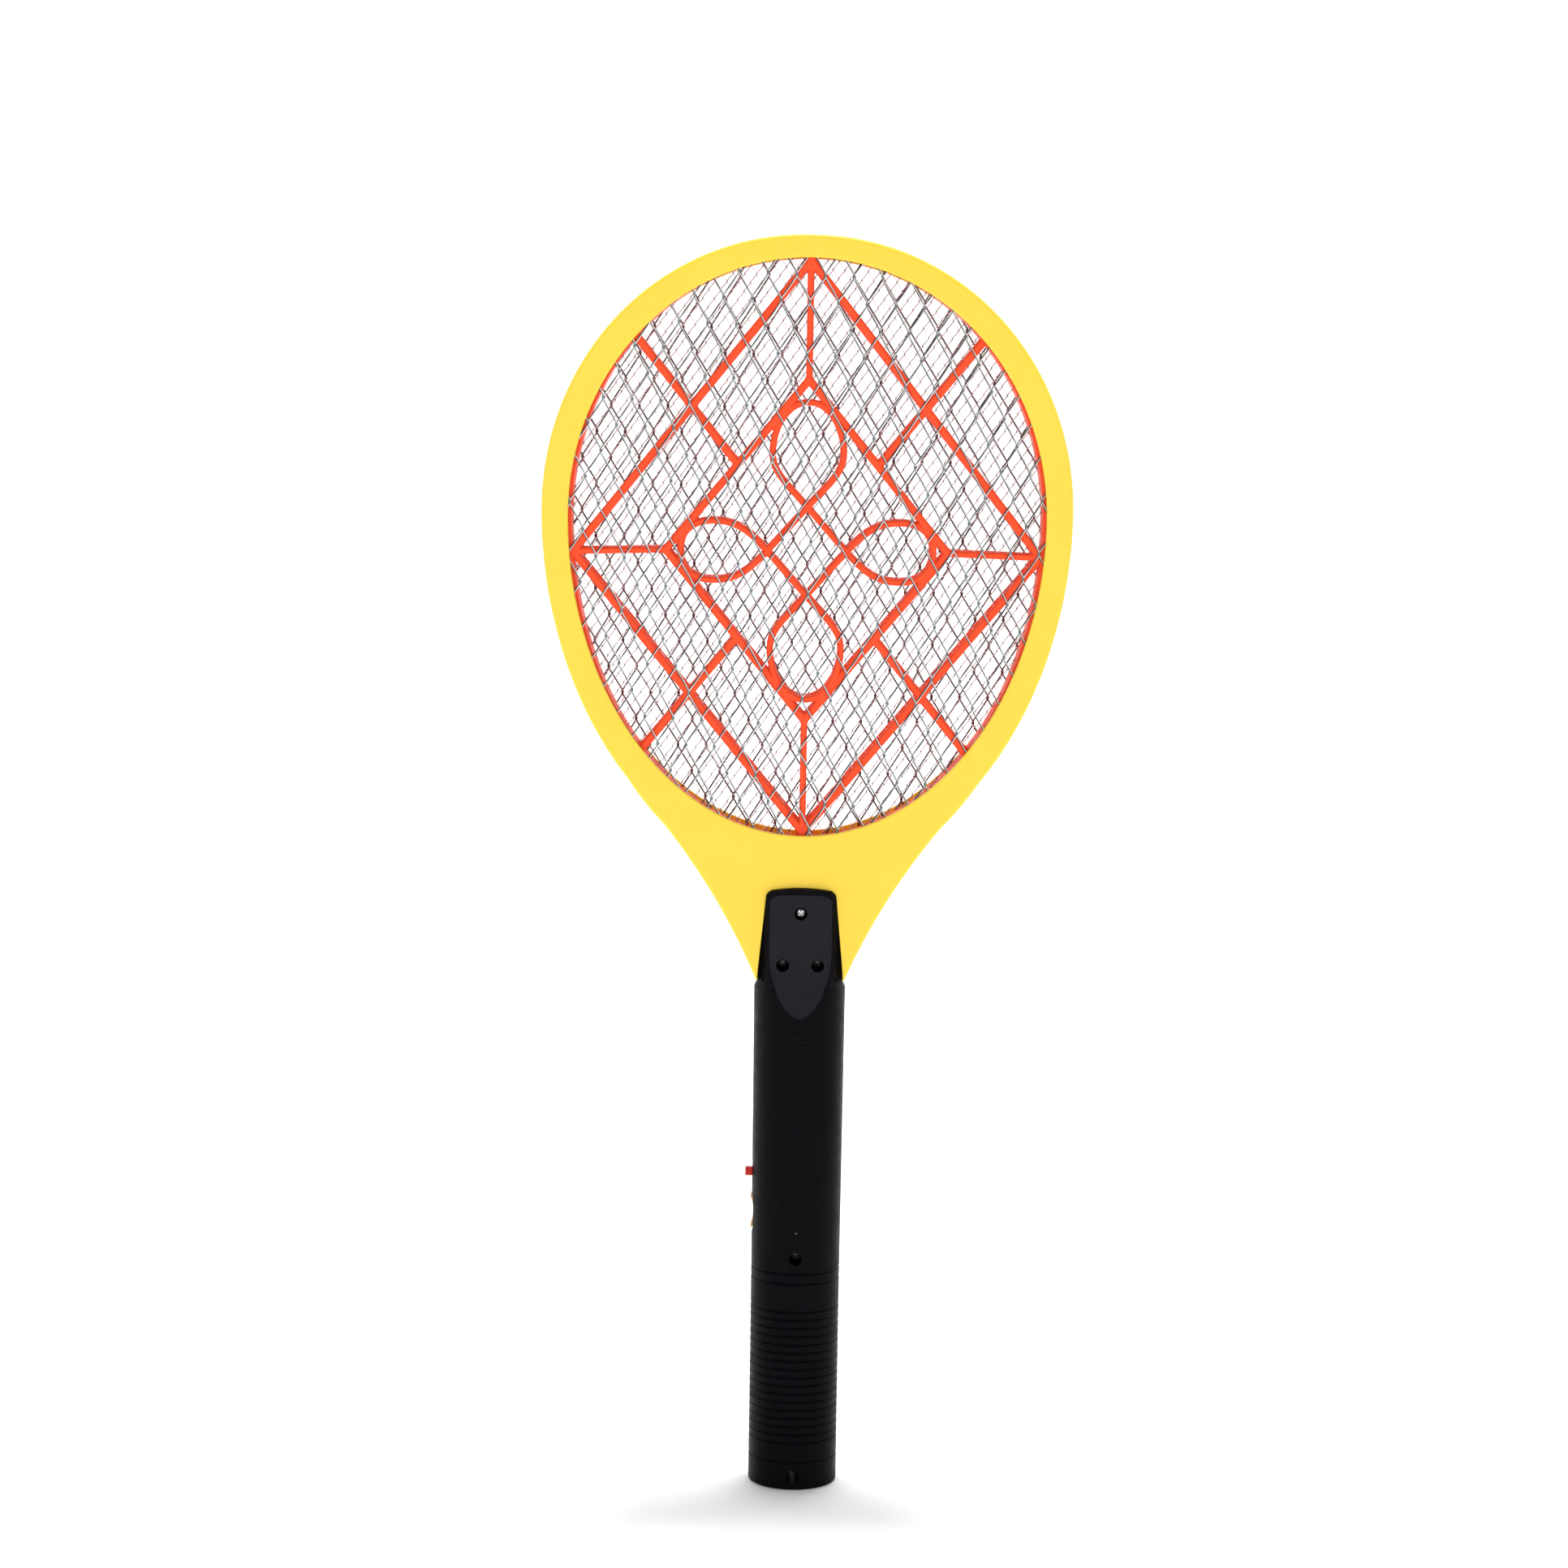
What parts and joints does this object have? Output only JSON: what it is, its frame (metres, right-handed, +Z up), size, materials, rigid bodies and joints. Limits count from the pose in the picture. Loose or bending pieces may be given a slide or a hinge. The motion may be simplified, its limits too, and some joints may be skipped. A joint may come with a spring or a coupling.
{
  "type": "electric fly swatter",
  "caption": "Racket-shaped electric fly swatter with an oval netted head on a round black handle, a slide switch, a push button and a retracting charging plug.",
  "frame": {"origin": "centre of the handle's flat base", "axes": "+Z up the handle to the top of the head, X across the head with the controls on -X, Y through the thickness with the screws facing -Y"},
  "size_m": [0.1952, 0.034, 0.4682],
  "materials": {
    "yellow_plastic": "glossy moulded ABS, slightly translucent at thin edges",
    "red_plastic": "glossy moulded polypropylene, slightly translucent",
    "outer_net_steel": "galvanised expanded steel, dull zinc",
    "inner_net_steel": "fine expanded steel, darker",
    "black_plastic": "satin black moulded ABS",
    "screw_steel": "bright zinc-plated steel",
    "switch_red": "glossy red plastic",
    "button_amber": "amber plastic",
    "switch_metal": "tinned sheet steel can",
    "switch_housing": "moulded black phenolic",
    "terminal_tin": "tinned copper alloy",
    "board_paper": "single-sided phenolic paper board",
    "led_red": "tinted epoxy",
    "ferrite": "sintered ferrite, dark grey",
    "copper_winding": "enamelled copper wire with yellow tape",
    "capacitor_brown": "dipped epoxy, red brown",
    "capacitor_yellow": "moulded box, yellow",
    "chip_black": "moulded epoxy, black",
    "resistor_tan": "lacquered carbon film body",
    "wire_red": "PVC insulation, red",
    "wire_black": "PVC insulation, black",
    "cell_green": "shrink-wrapped rechargeable cell",
    "nickel_strip": "nickel-plated strip",
    "pin_brass": "nickel-plated brass",
    "contact_bronze": "phosphor bronze strip"
  },
  "bodies": {
    "racket": {"rear_head_frame": "yellow_plastic", "front_head_frame": "yellow_plastic", "rear_outer_net": "outer_net_steel", "rear_grille": "red_plastic", "inner_net": "inner_net_steel", "front_grille": "red_plastic", "front_outer_net": "outer_net_steel", "rear_handle_shell": "black_plastic", "front_handle_shell": "black_plastic", "neck_screws": "screw_steel", "handle_screw": "screw_steel", "slide_switch_body": "switch_metal", "slide_switch_terminals": "terminal_tin", "button_switch_body": "switch_housing", "button_switch_terminals": "terminal_tin", "circuit_board": "board_paper", "indicator_led": "led_red", "transformer_core": "ferrite", "transformer_winding": "copper_winding", "reservoir_capacitor": "capacitor_brown", "charging_capacitor": "capacitor_yellow", "oscillator_transistor": "chip_black", "rectifier_diodes": "chip_black", "resistors": "resistor_tan", "net_leads": "wire_red", "battery_cells": "cell_green", "battery_link": "nickel_strip", "battery_leads": "wire_black", "charging_strips": "contact_bronze", "charging_leads": "wire_red"},
    "slide_switch": {"slide_switch_knob": "switch_red"},
    "push_button": {"push_button_cap": "button_amber", "button_switch_stem": "switch_housing"},
    "charging_plug": {"plug_carrier": "black_plastic", "plug_pins": "pin_brass", "plug_wipers": "contact_bronze", "plug_slider": "black_plastic"}
  },
  "joints": [
    {"name": "slide_switch", "type": "slide", "parent": "racket", "child": "slide_switch", "axis": [0, 0, 1], "range_m": [0, 0.0025]},
    {"name": "push_button", "type": "slide", "parent": "racket", "child": "push_button", "axis": [1, 0, 0], "range_m": [0, 0.0008], "stiffness_N_per_m": 1500},
    {"name": "charging_plug", "type": "slide", "parent": "racket", "child": "charging_plug", "axis": [0, 0, -1], "range_m": [0, 0.019]}
  ]
}
